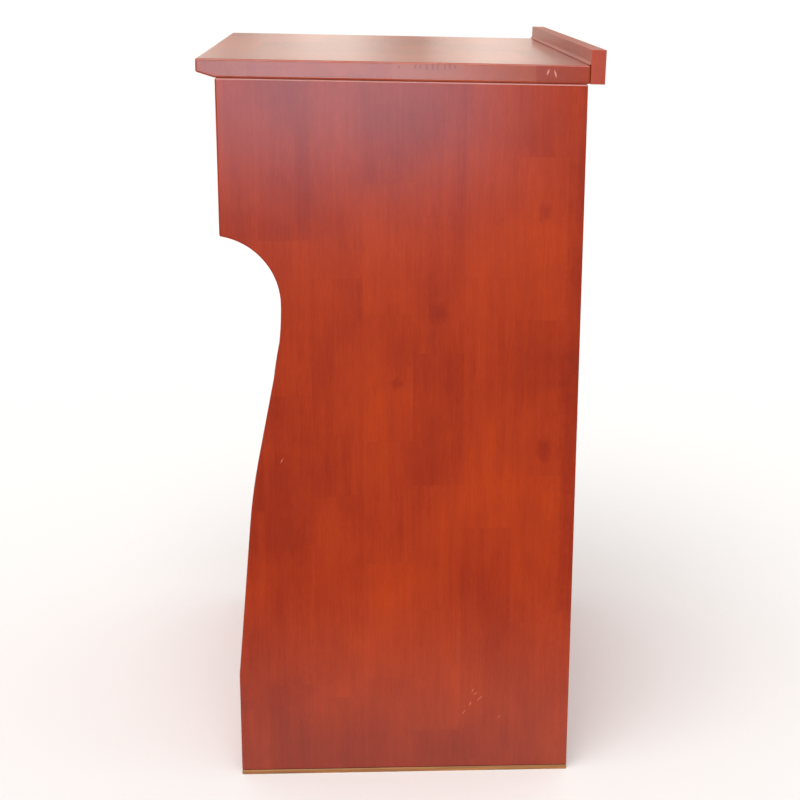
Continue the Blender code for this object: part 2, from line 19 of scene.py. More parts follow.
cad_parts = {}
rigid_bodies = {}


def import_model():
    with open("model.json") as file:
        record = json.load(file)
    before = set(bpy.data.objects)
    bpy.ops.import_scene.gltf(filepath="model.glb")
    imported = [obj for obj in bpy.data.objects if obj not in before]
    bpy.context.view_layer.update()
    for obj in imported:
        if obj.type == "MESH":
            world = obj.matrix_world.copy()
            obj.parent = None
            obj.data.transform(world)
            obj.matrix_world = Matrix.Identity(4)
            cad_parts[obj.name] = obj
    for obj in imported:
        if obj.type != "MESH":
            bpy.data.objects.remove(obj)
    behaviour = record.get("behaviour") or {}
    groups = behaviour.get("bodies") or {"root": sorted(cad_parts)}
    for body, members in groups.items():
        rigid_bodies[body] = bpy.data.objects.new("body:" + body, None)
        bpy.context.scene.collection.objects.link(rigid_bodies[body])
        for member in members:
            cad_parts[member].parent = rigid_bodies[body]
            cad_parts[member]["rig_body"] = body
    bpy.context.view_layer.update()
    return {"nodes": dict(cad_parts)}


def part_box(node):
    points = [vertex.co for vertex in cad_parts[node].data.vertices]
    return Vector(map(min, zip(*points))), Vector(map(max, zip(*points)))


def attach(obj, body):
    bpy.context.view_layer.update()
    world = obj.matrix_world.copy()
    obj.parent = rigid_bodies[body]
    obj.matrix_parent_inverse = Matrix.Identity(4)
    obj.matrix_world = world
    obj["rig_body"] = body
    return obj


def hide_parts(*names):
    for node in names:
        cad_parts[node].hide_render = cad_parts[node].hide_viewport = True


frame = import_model()
NODES = frame["nodes"]

# %% [markdown]
# ## One helper for nodes and one for colours
#
# Materials and Geometry Nodes trees are both made of nodes, so one small function adds a node,
# sets its properties and fills its inputs. An input takes a plain value, another node (its first
# output is used) or one of its outputs. Colours are written as the hex values that a paint
# programme shows, which are sRGB, and Blender's shaders work in linear light, so one function
# turns them.

# %% Node and colour helpers
def add(tree, kind, inputs=None, **settings):
    """Add a node with its settings, and fill or link its inputs by name or number."""
    made = tree.nodes.new(kind)
    for name, value in settings.items():
        setattr(made, name, value)
    for key, value in (inputs or {}).items():
        source = value.outputs[0] if isinstance(value, bpy.types.Node) else value
        if isinstance(source, bpy.types.NodeSocket):
            tree.links.new(source, made.inputs[key])
        else:
            made.inputs[key].default_value = source
    return made


def linear(hex_colour):
    """A hex sRGB colour as linear red, green, blue and alpha."""
    channels = (int(hex_colour[k : k + 2], 16) / 255 for k in (1, 3, 5))
    curve = (c / 12.92 if c <= 0.04045 else ((c + 0.055) / 1.055) ** 2.4 for c in channels)
    return (*curve, 1.0)


def new_material(name):
    """An empty material: its tree, and a Principled shader already joined to the output."""
    material = bpy.data.materials.new(name)
    material.use_nodes = True
    tree = material.node_tree
    tree.nodes.clear()
    shader = add(tree, "ShaderNodeBsdfPrincipled")
    add(tree, "ShaderNodeOutputMaterial", {"Surface": shader})
    return material, tree, shader


# %% [markdown]
# ## The camera
#
# The lectern is seen square from its left-hand side, from a little above the top, so that the
# top shows as a thin bright strip. A lens that stands close and looks down would make the
# uprights run together, so the camera stands back and its lens is shifted down a little.

# %% Camera
CAMERA_PLACE = (2.397, -0.073, 1.239)
CAMERA_DOWN = math.radians(14.55)
CAMERA_ASIDE = math.radians(1.99)  # turned towards the speaker's side from straight across
CAMERA_ROLL = math.radians(0.05)

camera_data = bpy.data.cameras.new("camera")
camera_data.lens = 66.2
camera_data.sensor_width = 36
camera_data.shift_y = -0.08
camera = bpy.data.objects.new("camera", camera_data)
bpy.context.scene.collection.objects.link(camera)
camera.matrix_world = (
    Matrix.Translation(CAMERA_PLACE)
    @ Matrix.Rotation(math.pi / 2 - CAMERA_ASIDE, 4, "Z")
    @ Matrix.Rotation(math.pi / 2 - CAMERA_DOWN, 4, "X")
    @ Matrix.Rotation(CAMERA_ROLL, 4, "Z")
)
bpy.context.scene.camera = camera
print("camera lens in mm:", camera_data.lens)

# %% [markdown]
# ## The studio
#
# A pale floor and a pale sky give most of the light, and a wide sun gives it a direction. Lacquer
# is judged by what it mirrors, so three lamps and a patchy warm wall are there only to be
# mirrored: they are hidden from the camera and from the matt part of every finish. A box
# overhead draws a bright line along the edges that face up, a window on the audience's side
# does it for the upright edges, and one low and far out is a cool haze in the side's upper
# corner. The wall stands beyond the lectern, where the top mirrors it at a flat angle.

# %% Floor, sky and lamps
FLOOR_HALF = 40.0
WALL_GLOW = 1.25


def new_floor():
    material, tree, shader = new_material("pale_floor_paint")
    shader.inputs["Base Color"].default_value = linear("#f4f3f1")
    shader.inputs["Roughness"].default_value = 0.9
    shader.inputs["Specular IOR Level"].default_value = 0.1
    bm = bmesh.new()
    bmesh.ops.create_grid(bm, x_segments=1, y_segments=1, size=FLOOR_HALF)
    mesh = bpy.data.meshes.new("floor")
    bm.to_mesh(mesh)
    bm.free()
    mesh.materials.append(material)
    floor = bpy.data.objects.new("floor", mesh)
    bpy.context.scene.collection.objects.link(floor)


def new_sky(horizon, zenith):
    """A plain white sky, brightest all round at eye level."""
    world = bpy.data.worlds.new("pale_sky")
    bpy.context.scene.world = world
    world.use_nodes = True
    tree = world.node_tree
    direction = add(tree, "ShaderNodeTexCoord")
    parts = add(tree, "ShaderNodeSeparateXYZ", {0: direction.outputs["Generated"]})
    rise = {"Value": parts.outputs[2], "From Max": 0.6, "To Min": horizon, "To Max": zenith}
    strength = add(tree, "ShaderNodeMapRange", rise, interpolation_type="SMOOTHSTEP")
    background = tree.nodes["Background"]
    background.inputs["Color"].default_value = linear("#fdfcfb")
    tree.links.new(strength.outputs[0], background.inputs["Strength"])


def new_lamp(name, place, target, width, height, watts, colour="#ffffff"):
    data = bpy.data.lights.new(name, "AREA")
    data.shape = "RECTANGLE"
    data.size = width
    data.size_y = height
    data.energy = watts
    data.color = linear(colour)[:3]
    lamp = bpy.data.objects.new(name, data)
    bpy.context.scene.collection.objects.link(lamp)
    aim = Vector(target) - Vector(place)
    lamp.matrix_world = Matrix.Translation(place) @ aim.to_track_quat("-Z", "Y").to_matrix().to_4x4()
    lamp.visible_camera = False
    lamp.visible_diffuse = False


def new_sun(name, aim, strength, spread):
    data = bpy.data.lights.new(name, "SUN")
    data.energy = strength
    data.angle = math.radians(spread)
    sun = bpy.data.objects.new(name, data)
    bpy.context.scene.collection.objects.link(sun)
    sun.matrix_world = Vector(aim).to_track_quat("-Z", "Y").to_matrix().to_4x4()


def new_wall(x, low_y, high_y, top):
    """An upright glowing wall with soft warm patches, seen only in what mirrors it."""
    material, tree, shader = new_material("patchy_warm_wall")
    place = add(tree, "ShaderNodeTexCoord")
    noise = {"Vector": place.outputs["Object"], "Scale": 3.2, "Detail": 1.0}
    patches = add(tree, "ShaderNodeTexNoise", noise)
    ramp = add(tree, "ShaderNodeValToRGB", {0: patches})
    for stop, colour, share in zip(ramp.color_ramp.elements, ("#8f6f58", "#fff3e4"), (0.40, 0.56)):
        stop.color, stop.position = linear(colour), share
    tree.links.new(ramp.outputs[0], shader.inputs["Emission Color"])
    shader.inputs["Emission Strength"].default_value = WALL_GLOW
    shader.inputs["Base Color"].default_value = linear("#000000")
    mesh = bpy.data.meshes.new("wall")
    corners = [(x, low_y, 0), (x, high_y, 0), (x, high_y, top), (x, low_y, top)]
    mesh.from_pydata(corners, [], [(0, 1, 2, 3)])
    mesh.materials.append(material)
    wall = bpy.data.objects.new("wall", mesh)
    bpy.context.scene.collection.objects.link(wall)
    wall.visible_camera = False
    wall.visible_diffuse = False
    wall.visible_shadow = False


new_floor()
new_sky(1.08, 0.72)
new_wall(-3.4, -2.6, 2.8, 2.2)
new_sun("soft_key", (-0.5, 0.2, -0.95), 1.5, 50)
new_lamp("overhead_box", (2.2, -0.2, 2.9), (0.34, 0, 1.08), 3.0, 1.6, 200)
new_lamp("front_window", (1.3, -3.6, 1.4), (0, 0, 0.6), 1.5, 1.5, 12, "#fff6ea")
new_lamp("low_window", (3.34, -0.16, 0.86), (0.34, -0.16, 0.9), 1.15, 0.55, 45, "#b8e0f8")
bpy.context.scene.view_settings.view_transform = "Standard"

# %% [markdown]
# ## Stained, lacquered staves
#
# The wood is a light hardwood such as rubberwood: short pieces are finger-jointed end to end
# into staves, the staves are glued side by side into a board, and the board is dyed red-brown and
# sprayed with satin lacquer. The dye evens the colour out but each piece still takes it
# differently, so a board reads as faint upright blocks with fine streaks inside them.
#
# The pattern could come from a Brick Texture, but its bricks are all one length. Here each
# stave gets its own piece length and its own start from white noise. The piece's random number
# then sets its tone and moves its grain, so that the grain breaks where two pieces meet.
#
# Object coordinates are in metres, and every finished piece's object sits at the origin, so one
# finish runs on the whole lectern at one scale.

# %% The stave pattern
STAVE_WIDTH = 0.0735
PIECE_LENGTH = 0.270
JOINT_WIDTH = 0.0006  # a glue line is finer, but has to be this wide to show


def board_axes(tree, across, along, through):
    """Object coordinates turned so that X is across the staves and Y is along the grain."""
    place = add(tree, "ShaderNodeTexCoord")
    parts = add(tree, "ShaderNodeSeparateXYZ", {0: place.outputs["Object"]})
    return parts.outputs[across], parts.outputs[along], parts.outputs[through]


def stave_layout(tree, across, along, start, width):
    """Random numbers for the piece at a point, and how far inside its edges the point is."""
    column = add(tree, "ShaderNodeMath", {0: across, 1: -start}, operation="ADD")
    column = add(tree, "ShaderNodeMath", {0: column, 1: width}, operation="DIVIDE")
    stave = add(tree, "ShaderNodeMath", {0: column}, operation="FLOOR")
    inside = add(tree, "ShaderNodeMath", {0: column}, operation="FRACT")
    own = add(tree, "ShaderNodeTexWhiteNoise", {"W": stave}, noise_dimensions="1D")
    split = add(tree, "ShaderNodeSeparateColor", {0: own.outputs["Color"]})
    stretch = add(
        tree,
        "ShaderNodeMapRange",
        {"Value": split.outputs[0], "To Min": 0.7 / PIECE_LENGTH, "To Max": 1.5 / PIECE_LENGTH},
    )
    run = add(tree, "ShaderNodeMath", {0: along, 1: stretch}, operation="MULTIPLY")
    slip = add(tree, "ShaderNodeMath", {0: split.outputs[1], 1: 9.0}, operation="MULTIPLY")
    run = add(tree, "ShaderNodeMath", {0: run, 1: slip}, operation="ADD")
    order = add(tree, "ShaderNodeMath", {0: run}, operation="FLOOR")
    reach = add(tree, "ShaderNodeMath", {0: run}, operation="FRACT")
    key = add(tree, "ShaderNodeCombineXYZ", {0: stave, 1: order})
    piece = add(tree, "ShaderNodeTexWhiteNoise", {"Vector": key}, noise_dimensions="2D")
    return piece, inside, reach


def edge_line(tree, share, width):
    """One on the line between two staves or pieces, nothing away from it."""
    centred = add(tree, "ShaderNodeMath", {0: share, 1: -0.5}, operation="ADD")
    distance = add(tree, "ShaderNodeMath", {0: centred}, operation="ABSOLUTE")
    line = {"Value": distance, "From Min": 0.5 - width, "From Max": 0.5}
    return add(tree, "ShaderNodeMapRange", line, interpolation_type="SMOOTHSTEP")


# %% [markdown]
# ## Grain, clouds and knots
#
# Four noises lie over the piece's own tone. Streaks, figure and pores are stretched along the
# grain by different amounts. Clouds are a soft noise some 110 mm wide, where the dye has taken
# unevenly. What the noises can't give is listed as ragged oval spots: a few small sound knots,
# which darken the wood and bend the grain, broad patches of painted shade, and scratches in the
# lacquer, which are long thin spots that are turned.

# %% Grain
STREAK = 0.0015  # across the grain; the real fibres are finer than the render shows
CLOUD = 0.110
RAGGED_SCALE = 80.0  # the wobble round a spot's rim, in waves a metre
MIDDLE_TONE = 0.68
KNOT_BEND = 0.008


def spots(tree, across, along, marks, ragged):
    """One inside each mark (across, along, half width, half length, turn), fading out around it."""
    level = add(tree, "ShaderNodeCombineXYZ", {0: across, 1: along})
    noise = add(tree, "ShaderNodeTexNoise", {"Vector": level, "Scale": RAGGED_SCALE, "Detail": 2.0})
    push = {0: noise.outputs["Color"], 1: (2 * ragged, 2 * ragged, 0.0), 2: level}
    point = add(tree, "ShaderNodeVectorMath", push, operation="MULTIPLY_ADD")
    total = 0.0
    for x, y, half_width, half_length, turn in marks:
        centre = (x + ragged, y + ragged, 0.0)
        offset = add(tree, "ShaderNodeVectorMath", {0: point, 1: centre}, operation="SUBTRACT")
        turned = add(tree, "ShaderNodeVectorRotate", {0: offset, 3: math.radians(turn)})
        size = (1 / half_width, 1 / half_length, 0.0)
        flat = add(tree, "ShaderNodeVectorMath", {0: turned, 1: size}, operation="MULTIPLY")
        far = add(tree, "ShaderNodeVectorMath", {0: flat}, operation="LENGTH").outputs["Value"]
        fade = {"Value": far, "From Min": 1.0, "From Max": 0.2}
        mask = add(tree, "ShaderNodeMapRange", fade, interpolation_type="SMOOTHSTEP")
        total = add(tree, "ShaderNodeMath", {0: total, 1: mask}, operation="MAXIMUM")
    return total


def grain_tone(tree, across, along, through, piece, contrast, knots, shades):
    """Light and dark of the wood at a point, and the streaks in it."""
    shift = add(
        tree, "ShaderNodeVectorMath", {0: piece.outputs["Color"], 1: (3.0, 3.0, 3.0)},
        operation="MULTIPLY",
    )
    bend = {0: knots, 1: KNOT_BEND, 2: across}
    bent = add(tree, "ShaderNodeMath", bend, operation="MULTIPLY_ADD")
    place = add(tree, "ShaderNodeCombineXYZ", {0: bent, 1: along, 2: through})
    moved = add(tree, "ShaderNodeVectorMath", {0: place, 1: shift}, operation="ADD")
    noises = {}
    for name, width, length, detail in (
        ("streaks", STREAK, 26 * STREAK, 5.0),
        ("figure", 5 * STREAK, 80 * STREAK, 3.0),
        ("pores", 0.3 * STREAK, 4 * STREAK, 1.0),
    ):
        size = (1 / width, 1 / length, 1 / width)
        scaled = add(tree, "ShaderNodeVectorMath", {0: moved, 1: size}, operation="MULTIPLY")
        grain = {"Vector": scaled, "Scale": 0.5, "Detail": detail, "Roughness": 0.62}
        noises[name] = add(tree, "ShaderNodeTexNoise", grain)
    drawn = add(tree, "ShaderNodeVectorMath", {0: place, 1: (1.0, 0.6, 1.0)}, operation="MULTIPLY")
    cloud = {"Vector": drawn, "Scale": 1 / CLOUD, "Detail": 4.0, "Roughness": 0.6}
    clouds = add(tree, "ShaderNodeTexNoise", cloud)
    even = (
        (piece.outputs["Value"], contrast),
        (noises["streaks"], 0.30),
        (noises["figure"], 0.34),
        (noises["pores"], 0.26),
        (clouds, 0.66),
    )
    darker = (
        (knots, -0.20),
        # Painted shade, where less light falls on the side.
        (shades, -0.14),
    )
    tone = MIDDLE_TONE - 0.5 * sum(weight for _, weight in even)
    for source, weight in even + darker:
        feed = {0: source, 1: weight, 2: tone}
        tone = add(tree, "ShaderNodeMath", feed, operation="MULTIPLY_ADD")
    return tone, noises["streaks"]


# %% [markdown]
# ## The finish itself
#
# Lacquer is a clear layer, so the shader's coat stands for it: a satin film whose reflections are
# soft. Under it the dyed wood is quite rough. The film is thin and shows the grain beneath as a
# slight relief, which a Bump node makes from the same streaks.
#
# Over the dye lie thin layers of other colours, each with its own mask: glue lines between the
# staves, the brown of sawn end grain, the strokes of a finger joint, scratches, chips, a greyer
# film low down that is a painted reflection of the floor, and a pale line along the arris under
# the top that is a painted highlight. A board takes only the layers that it is given marks for.

# %% Stained wood
GLUE_SHARE = 0.12
COAT_ROUGHNESS, WOOD_ROUGHNESS = 0.22, 0.42
X, Y, Z = 0, 1, 2
SLOPE = math.radians(1.13)
# The second is for the patches of painted shade.
KNOT_RAGGED, PAINTED_SHADE_RAGGED = 0.007, 0.025
REDS = ("#701d09", "#922708", "#b23a0a")  # dyed wood: darkest, middle and lightest


def coloured_layers(tree, across, along, through, piece, marks):
    """The marked layers over the dye, from the lowest: mask, share and colour of each."""
    if "brown" in marks:
        yield piece, marks["brown"], "#8a5636"
    if "fingers" in marks:
        yield spots(tree, across, through, marks["fingers"], 0.0004), 1.0, "#7a1f04"
    if "scratches" in marks:
        yield spots(tree, across, along, marks["scratches"], 0.0012), 0.6, "#d98f78"
    if "chips" in marks:
        yield spots(tree, across, through, marks["chips"], 0.0010), 0.9, "#e2a78f"
    # Greyer towards the floor: a painted reflection of the floor in the lacquer.
    if "dust" in marks:
        fade = {"Value": along, "From Min": marks["dust"], "From Max": 0.0}
        low_down = add(tree, "ShaderNodeMapRange", fade, interpolation_type="SMOOTHSTEP")
        yield low_down, 0.14, "#857d7b"
    # A pale line along the panels' top arris, under the top: a painted highlight.
    if "worn_from" in marks:
        height = {0: across, 1: math.tan(SLOPE), 2: along}
        height = add(tree, "ShaderNodeMath", height, operation="MULTIPLY_ADD")
        worn = {0: height, 1: marks["worn_from"]}
        yield add(tree, "ShaderNodeMath", worn, operation="GREATER_THAN"), 0.5, "#cf9d96"


def stained_wood(name, axes, start=0.0, width=STAVE_WIDTH, contrast=0.12, coat=0.26, gloss=0.0, **marks):
    """Dyed and lacquered staves. Axes are object axis numbers: across, along, through."""
    material, tree, shader = new_material(name)
    across, along, through = board_axes(tree, *axes)
    piece, inside, reach = stave_layout(tree, across, along, start, width)
    knot = spots(tree, across, along, marks.get("knots", ()), KNOT_RAGGED)
    # Patches of painted shade.
    shade = spots(tree, across, along, marks.get("shades", ()), PAINTED_SHADE_RAGGED)
    tone, streaks = grain_tone(tree, across, along, through, piece, contrast, knot, shade)
    ramp = add(tree, "ShaderNodeValToRGB", {0: tone})
    stops = ramp.color_ramp.elements
    stops[0].position, stops[1].position = 0.12, 0.92
    stops.new(0.5)
    for stop, colour in zip(stops, REDS):
        stop.color = linear(colour)
    side_line = edge_line(tree, inside, JOINT_WIDTH / width)
    end_line = edge_line(tree, reach, 2 * JOINT_WIDTH / PIECE_LENGTH)
    lines = add(tree, "ShaderNodeMath", {0: side_line, 1: end_line}, operation="MAXIMUM")
    layers = [(lines, GLUE_SHARE, REDS[0])]
    layers += coloured_layers(tree, across, along, through, piece, marks)
    colour = ramp.outputs[0]
    for mask, share, paint in layers:
        strength = add(tree, "ShaderNodeMath", {0: mask, 1: share}, operation="MULTIPLY")
        mixed = {0: strength, 6: colour, 7: linear(paint)}
        colour = add(tree, "ShaderNodeMix", mixed, data_type="RGBA").outputs[2]
    relief = {"Height": streaks, "Strength": 0.25, "Distance": 0.0003}
    tree.links.new(colour, shader.inputs["Base Color"])
    tree.links.new(add(tree, "ShaderNodeBump", relief).outputs[0], shader.inputs["Normal"])
    shader.inputs["Roughness"].default_value = WOOD_ROUGHNESS
    shader.inputs["Specular IOR Level"].default_value = gloss
    shader.inputs["Coat Weight"].default_value = coat
    shader.inputs["Coat Roughness"].default_value = COAT_ROUGHNESS
    return material


# %% [markdown]
# ## The marks on each board
#
# Marks are placed back from the panels' front plane and, in the top's edge, up from the panels'
# heads. Each row is a place across and along the grain, half a width, half a length, and a turn
# in degrees. Boards with nothing special on them share the plain finish, with the staves started
# at a different place so that no two kinds of board look cut from one.

# %% Wood finishes
panel_low, panel_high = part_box("side_panel_left")
FRONT_Y, HEAD_TOP = panel_low.y, panel_high.z
SIDE_KNOTS = (
    (FRONT_Y + 0.4616, 0.883, 0.013, 0.020, 0),
    (FRONT_Y + 0.2507, 0.633, 0.012, 0.016, 20),
    (FRONT_Y + 0.4706, 0.530, 0.016, 0.026, 0),
    (FRONT_Y + 0.3130, 0.738, 0.018, 0.024, 0),
)
# Painted shade: broad patches that darken the side towards its front and rear edges, its foot and its
# head.
SIDE_PAINTED_SHADES = (
    (FRONT_Y + 0.060, 0.360, 0.085, 0.500, 0),
    (FRONT_Y + 0.520, 0.600, 0.040, 0.800, 0),
    (FRONT_Y + 0.200, -0.020, 0.500, 0.160, 0),
    (FRONT_Y + 0.180, 1.050, 0.340, 0.230, 0),
)
SIDE_SCRATCHES = (
    (FRONT_Y + 0.3690, 0.1385, 0.0010, 0.0045, 25),
    (FRONT_Y + 0.3730, 0.1330, 0.0010, 0.0055, 60),
    (FRONT_Y + 0.3655, 0.1160, 0.0010, 0.0050, 30),
    (FRONT_Y + 0.4100, 0.0930, 0.0010, 0.0040, 35),
    (FRONT_Y + 0.3800, 0.1250, 0.0008, 0.0080, 50),
    (FRONT_Y + 0.3560, 0.1020, 0.0008, 0.0065, 40),
    (FRONT_Y + 0.0820, 0.5160, 0.0010, 0.0060, 30),
)
TOP_STAVE, TOP_START = 0.100, FRONT_Y + 0.0448
ARRIS = 0.0022  # how far down from the panel's head the painted highlight reaches
# A finger joint's glue lines show as a comb of short strokes in the top's sawn edge.
TOP_FINGERS = tuple(
    (FRONT_Y + y, HEAD_TOP + 0.0145, 0.0015, length, 0)
    for y, length in (
        (0.254, 0.003), (0.277, 0.004), (0.284, 0.004), (0.293, 0.007), (0.301, 0.007),
        (0.308, 0.007), (0.318, 0.006), (0.325, 0.007), (0.332, 0.004),
    )
)
TOP_CHIPS = (
    (FRONT_Y + 0.4612, HEAD_TOP + 0.0070, 0.0016, 0.0055, 20),
    (FRONT_Y + 0.4715, HEAD_TOP + 0.0045, 0.0014, 0.0075, -15),
)
# The side panels carry painted shade at their edges, a painted reflection of the floor low down, and a
# painted highlight along the arris under the top.
SIDE_WOOD = stained_wood(
    "lacquered_staves_side", (Y, Z, X), FRONT_Y + 0.055,
    knots=SIDE_KNOTS, shades=SIDE_PAINTED_SHADES, scratches=SIDE_SCRATCHES, dust=0.35,
    worn_from=HEAD_TOP + FRONT_Y * math.tan(SLOPE) - ARRIS,
)
TOP_WOOD = stained_wood(
    "lacquered_staves_top", (Y, X, Z), TOP_START, TOP_STAVE, contrast=0.3, coat=1.0, gloss=0.3
)
# Sawn end grain drinks the lacquer, so the top's side edges shine less and vary more.
EDGE_WOOD = stained_wood(
    "lacquered_end_grain", (Y, X, Z), TOP_START, TOP_STAVE, contrast=0.45, coat=0.40,
    brown=0.45, fingers=TOP_FINGERS, chips=TOP_CHIPS,
)
LEDGE_WOOD = stained_wood("lacquered_staves_ledge", (Z, X, Y), 0.02, coat=0.40, gloss=0.1)
FRONT_WOOD = stained_wood("lacquered_staves_front", (Z, X, Y), 0.03)
DOOR_WOOD = stained_wood("lacquered_staves_door", (X, Z, Y), 0.012)
print("wood finishes:", [m.name for m in bpy.data.materials if m.name.startswith("lacquered")])

# %% [markdown]
# ## Boards
#
# A board leaves the saw with sharp corners, and sanding and lacquer round them. A Bevel modifier
# on an exact outline makes that rounding, and hardened normals keep the broad faces flat. What
# Geometry Nodes make is settled into a plain mesh, so that a program that knows nothing of
# modifiers can open it.

# %% Board helpers
def finished(node, bm, material, radius, segments=3, carve=None):
    """Make a mesh stand for a frame node: its finish, its rounded edges, its body and slot."""
    name = f"{node}_finished"
    mesh = bpy.data.meshes.new(name)
    bm.to_mesh(mesh)
    bm.free()
    mesh.materials.append(material)
    mesh.shade_smooth()
    piece = bpy.data.objects.new(name, mesh)
    bpy.context.scene.collection.objects.link(piece)
    bevel = piece.modifiers.new("rounded edges", "BEVEL")
    bevel.width = radius
    bevel.segments = segments
    bevel.limit_method = "ANGLE"
    bevel.angle_limit = math.radians(30)
    bevel.harden_normals = carve is None
    if carve:
        carve(piece)
    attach(piece, NODES[node]["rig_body"])
    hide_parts(node)
    return piece


def settle(piece):
    """Turn an object and its modifiers into one plain mesh."""
    graph = bpy.context.evaluated_depsgraph_get()
    mesh = bpy.data.meshes.new_from_object(piece.evaluated_get(graph))
    piece.modifiers.clear()
    piece.data = mesh
    mesh.name = piece.name


def new_tree(name, sizes):
    """A Geometry Nodes tree with a length input for each named size, and a material input."""
    tree = bpy.data.node_groups.new(name, "GeometryNodeTree")
    face = tree.interface
    face.new_socket("Geometry", in_out="OUTPUT", socket_type="NodeSocketGeometry")
    face.new_socket("Geometry", in_out="INPUT", socket_type="NodeSocketGeometry")
    for size in sizes:
        face.new_socket(size, in_out="INPUT", socket_type="NodeSocketFloat")
    face.new_socket("Material", in_out="INPUT", socket_type="NodeSocketMaterial")
    return tree, add(tree, "NodeGroupInput").outputs


def end_tree(tree, geometry, material):
    solid = add(tree, "GeometryNodeRealizeInstances", {0: geometry})
    dressed = add(tree, "GeometryNodeSetMaterial", {"Geometry": solid, "Material": material})
    add(tree, "NodeGroupOutput", {"Geometry": dressed})


def use_tree(piece, tree, values):
    """Put a tree on a piece, each input set by its socket's identifier."""
    modifier = piece.modifiers.new(tree.name, "NODES")
    modifier.node_group = tree
    for item in tree.interface.items_tree:
        if item.in_out == "INPUT" and item.name in values:
            modifier[item.identifier] = values[item.name]
    return modifier


def pushed_outline(outline, low, high):
    """A flat (y, z) outline pushed through along X."""
    bm = bmesh.new()
    face = bm.faces.new([bm.verts.new((low, y, z)) for y, z in outline])
    pushed = bmesh.ops.extrude_face_region(bm, geom=[face])["geom"]
    moved = [part for part in pushed if isinstance(part, bmesh.types.BMVert)]
    bmesh.ops.translate(bm, vec=(high - low, 0, 0), verts=moved)
    bmesh.ops.recalc_face_normals(bm, faces=bm.faces)
    return bm


def arc(centre, radius, start, end, steps):
    """Points (y, z) along an arc, angles counted from +Y upwards."""
    return [
        (centre[0] + radius * math.cos(a), centre[1] + radius * math.sin(a))
        for a in (start + (end - start) * k / steps for k in range(steps + 1))
    ]


# %% [markdown]
# ## Side panels
#
# The front edge of each side is sawn to an S: a tight round neck under the head, a long hollow
# at the waist, and a long flare out to the plinth. Arcs that meet in one direction describe it
# completely, so the outline is worked out from their centres and radii.
#
# Inside, two rows of drilled holes let the shelf be set at three heights. They are a regular
# grid, so Geometry Nodes place one drill bit on each point of a grid and cut them all at once.
# Weighted normals then keep the broad faces flat up to the holes' rims.

# %% Side panels
PANEL_DEPTH = panel_high.y - panel_low.y
WAIST = (0.085, 0.752)
NECK_RADIUS, WAIST_RADIUS, FLARE_RADIUS = 0.1015, 0.490, 0.980
UPPER_LEAN, LOWER_LEAN = math.atan(0.20), math.atan(0.09)
FLARE_HEIGHT, PLINTH_HEIGHT = 0.5175, 0.170

NECK_CENTRE = (FRONT_Y + WAIST[0] - NECK_RADIUS, WAIST[1])
WAIST_CENTRE = (FRONT_Y + WAIST[0] - WAIST_RADIUS, WAIST[1])
waist_end = arc(WAIST_CENTRE, WAIST_RADIUS, -UPPER_LEAN, -UPPER_LEAN, 1)[0]
flare_y = waist_end[0] - (waist_end[1] - FLARE_HEIGHT) * math.tan(UPPER_LEAN)
FLARE_CENTRE = (
    flare_y + FLARE_RADIUS * math.cos(UPPER_LEAN),
    FLARE_HEIGHT - FLARE_RADIUS * math.sin(UPPER_LEAN),
)


def neck_curve(inset, start_y, steps, end_y=None):
    """The neck arc, moved in from the panel's edge, between two places or down to the waist."""
    radius = NECK_RADIUS + inset
    start, end = (
        0 if y is None else math.acos((y - NECK_CENTRE[0]) / radius) for y in (start_y, end_y)
    )
    return arc(NECK_CENTRE, radius, start, end, steps)


def lower_curve(inset, steps):
    """The waist and the flare, moved in from the panel's edge, down to the plinth."""
    waist = arc(WAIST_CENTRE, WAIST_RADIUS + inset, 0, -UPPER_LEAN, steps)
    flare = arc(FLARE_CENTRE, FLARE_RADIUS - inset, math.pi - UPPER_LEAN, math.pi - LOWER_LEAN, steps)
    foot_y = flare[-1][0] + (flare[-1][1] - PLINTH_HEIGHT) * -math.tan(LOWER_LEAN)
    return waist + flare + [(foot_y, PLINTH_HEIGHT)]


def drill_tree():
    """Cut a standing grid of round holes, drilled along X, from the geometry that comes in."""
    sizes = ("Row Gap", "Level Gap", "Hole Radius", "Hole Depth", "Face X", "Middle Y", "Middle Z")
    tree, given = new_tree("shelf pin holes", sizes)
    spread = {
        "Size X": given["Level Gap"], "Size Y": given["Row Gap"], "Vertices X": 3, "Vertices Y": 2,
    }
    grid = add(tree, "GeometryNodeMeshGrid", spread)
    middle = {0: given["Face X"], 1: given["Middle Y"], 2: given["Middle Z"]}
    centre = add(tree, "ShaderNodeCombineXYZ", middle)
    quarter = (0.0, math.pi / 2, 0.0)
    stand = {"Geometry": grid, "Translation": centre, "Rotation": quarter}
    places = add(tree, "GeometryNodeTransform", stand)
    length = add(tree, "ShaderNodeMath", {0: given["Hole Depth"], 1: 2.0}, operation="MULTIPLY")
    size = {"Vertices": 16, "Radius": given["Hole Radius"], "Depth": length}
    bit = add(tree, "GeometryNodeMeshCylinder", size)
    bits = {"Points": places, "Instance": bit, "Rotation": quarter}
    drills = add(tree, "GeometryNodeInstanceOnPoints", bits)
    cut = add(
        tree, "GeometryNodeMeshBoolean", {0: given["Geometry"], 1: drills},
        operation="DIFFERENCE", solver="EXACT",
    )
    end_tree(tree, cut, given["Material"])
    return tree


SHELF_LEVEL, LEVEL_GAP = 0.3972, 0.064
FRONT_PINS, REAR_PINS = 0.100, 0.440  # depths behind the head's front plane
DRILLING = drill_tree()


def drill_pin_holes(piece):
    side = 1 if piece.data.vertices[0].co.x > 0 else -1
    values = {
        "Row Gap": REAR_PINS - FRONT_PINS,
        "Level Gap": 2 * LEVEL_GAP,
        "Hole Radius": 0.0028,
        "Hole Depth": 0.0083,
        "Face X": side * panel_low.x,
        "Middle Y": FRONT_Y + (FRONT_PINS + REAR_PINS) / 2,
        "Middle Z": SHELF_LEVEL,
        "Material": SIDE_WOOD,
    }
    use_tree(piece, DRILLING, values)
    piece.modifiers.new("flat faces", "WEIGHTED_NORMAL")
    settle(piece)


